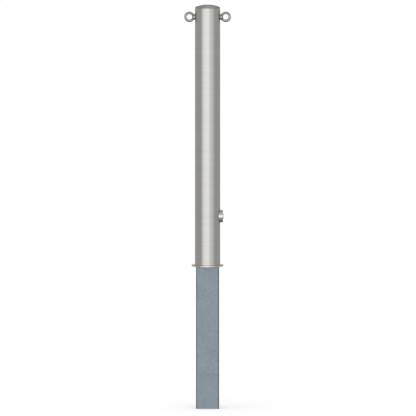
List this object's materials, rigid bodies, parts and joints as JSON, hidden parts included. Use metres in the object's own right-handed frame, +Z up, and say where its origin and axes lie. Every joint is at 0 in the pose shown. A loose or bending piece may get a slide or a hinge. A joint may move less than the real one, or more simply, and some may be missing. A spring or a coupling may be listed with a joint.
{
  "type": "removable steel bollard with ground socket",
  "caption": "Round brushed stainless bollard with domed cap, side ring eyes and a triangle key lock; its square foot locks into a galvanised ground socket.",
  "frame": {"origin": "on the post's axis at pavement level, where the foot flange's underside rests on the socket's top rim", "axes": "+Z up along the post; the lock faces +X; the ring eyes stand on +X and -X; the socket's bolt hole faces +Y"},
  "size_m": [0.1412, 0.096, 1.2205],
  "materials": {
    "brushed_stainless": "fine brushed round the post",
    "polished_stainless": "satin polished casting",
    "turned_stainless": "turned, fine concentric marks",
    "plain_stainless": "mill finish",
    "galvanised_steel": "hot-dip galvanised, dull",
    "zinc_plated_steel": "bright zinc plated",
    "bronze": "plain bearing bronze"
  },
  "bodies": {
    "socket": {"socket_tube": "galvanised_steel", "socket_floor_plate": "galvanised_steel"},
    "post": {"post_tube": "brushed_stainless", "dome_cap": "brushed_stainless", "foot_flange": "brushed_stainless", "spigot_tube": "plain_stainless", "eye_bolt_left": "polished_stainless", "eye_bolt_right": "polished_stainless", "rivet_nut_left": "plain_stainless", "rivet_nut_right": "plain_stainless", "lock_sleeve": "turned_stainless", "spindle_bush": "bronze", "rod_guide_disc": "plain_stainless", "bolt_guide_block": "plain_stainless"},
    "spindle": {"triangle_spindle": "turned_stainless", "crank_plate": "zinc_plated_steel", "crank_pin": "zinc_plated_steel", "spindle_washer": "zinc_plated_steel", "spindle_screw": "zinc_plated_steel"},
    "push_rod": {"push_rod": "zinc_plated_steel"},
    "lock_bolt": {"lock_bolt": "turned_stainless", "bolt_cross_pin": "turned_stainless"}
  },
  "joints": [
    {"name": "post_lift", "type": "slide", "parent": "socket", "child": "post", "axis": [0, 0, 1], "range_m": [0, 0.36]},
    {"name": "rod_drop", "type": "slide", "parent": "post", "child": "push_rod", "axis": [0, 0, -1], "range_m": [0, 0.02121]},
    {"name": "lock_turn", "type": "hinge", "parent": "post", "child": "spindle", "pos_m": [0.03, 0, 0.151], "axis": [-1, 0, 0], "range_deg": [0, 90]},
    {"name": "bolt_throw", "type": "slide", "parent": "post", "child": "lock_bolt", "axis": [0, 1, 0], "range_m": [0, 0.00501]}
  ],
  "couplings": [
    {"joint": "lock_turn", "follows": "rod_drop", "rad_per_m": 74.048},
    {"joint": "bolt_throw", "follows": "rod_drop", "ratio": 0.2357}
  ]
}
